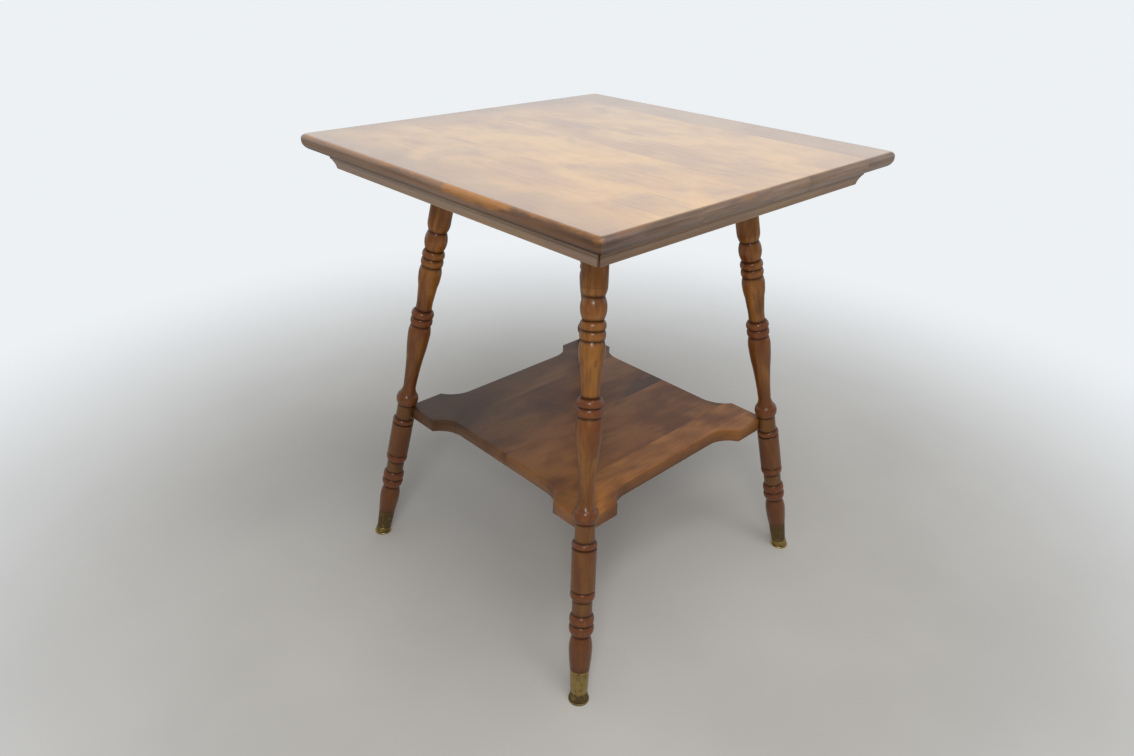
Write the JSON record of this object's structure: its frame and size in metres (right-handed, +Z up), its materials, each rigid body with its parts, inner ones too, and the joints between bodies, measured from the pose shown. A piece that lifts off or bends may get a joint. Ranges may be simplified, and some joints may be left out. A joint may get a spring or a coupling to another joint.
{
  "type": "end table",
  "caption": "Square wooden end table with a round-edged top, a mitred apron, splayed turned legs on brass ferrules and a low eared shelf.",
  "frame": {"origin": "on the floor, under the centre of the square top", "axes": "+Z up; +X towards the right side and -Y towards the front, both square to the top's edges; the top's grain runs along Y and the shelf's along X"},
  "size_m": [0.61, 0.61, 0.718],
  "materials": {
    "top_wood": "glossy varnish over stained hardwood",
    "apron_wood": "glossy varnish over dark stained hardwood",
    "bare_wood": "sawn and planed, no finish",
    "leg_wood": "glossy varnish over red-brown stained hardwood",
    "shelf_wood": "satin varnish over stained hardwood",
    "dowel_wood": "plain birch dowel",
    "brass": "aged, rubbed",
    "glide_brass": "worn bright at the rim, tarnished above",
    "screw_steel": "dull, oxidised"
  },
  "bodies": {
    "root": {"top_board_1": "top_wood", "top_board_2": "top_wood", "top_board_3": "top_wood", "top_board_4": "top_wood", "top_board_5": "top_wood", "apron_front": "apron_wood", "apron_right": "apron_wood", "apron_back": "apron_wood", "apron_left": "apron_wood", "glue_block_front_left": "bare_wood", "glue_block_front_right": "bare_wood", "glue_block_back_right": "bare_wood", "glue_block_back_left": "bare_wood", "batten_front": "bare_wood", "batten_back": "bare_wood", "batten_screws": "screw_steel", "leg_front_left": "leg_wood", "ferrule_front_left": "brass", "foot_glide_front_left": "glide_brass", "leg_front_right": "leg_wood", "ferrule_front_right": "brass", "foot_glide_front_right": "glide_brass", "leg_back_right": "leg_wood", "ferrule_back_right": "brass", "foot_glide_back_right": "glide_brass", "leg_back_left": "leg_wood", "ferrule_back_left": "brass", "foot_glide_back_left": "glide_brass", "shelf_board_1": "shelf_wood", "shelf_board_2": "shelf_wood", "shelf_board_3": "shelf_wood", "shelf_board_4": "shelf_wood", "shelf_dowels": "dowel_wood"}
  },
  "joints": []
}
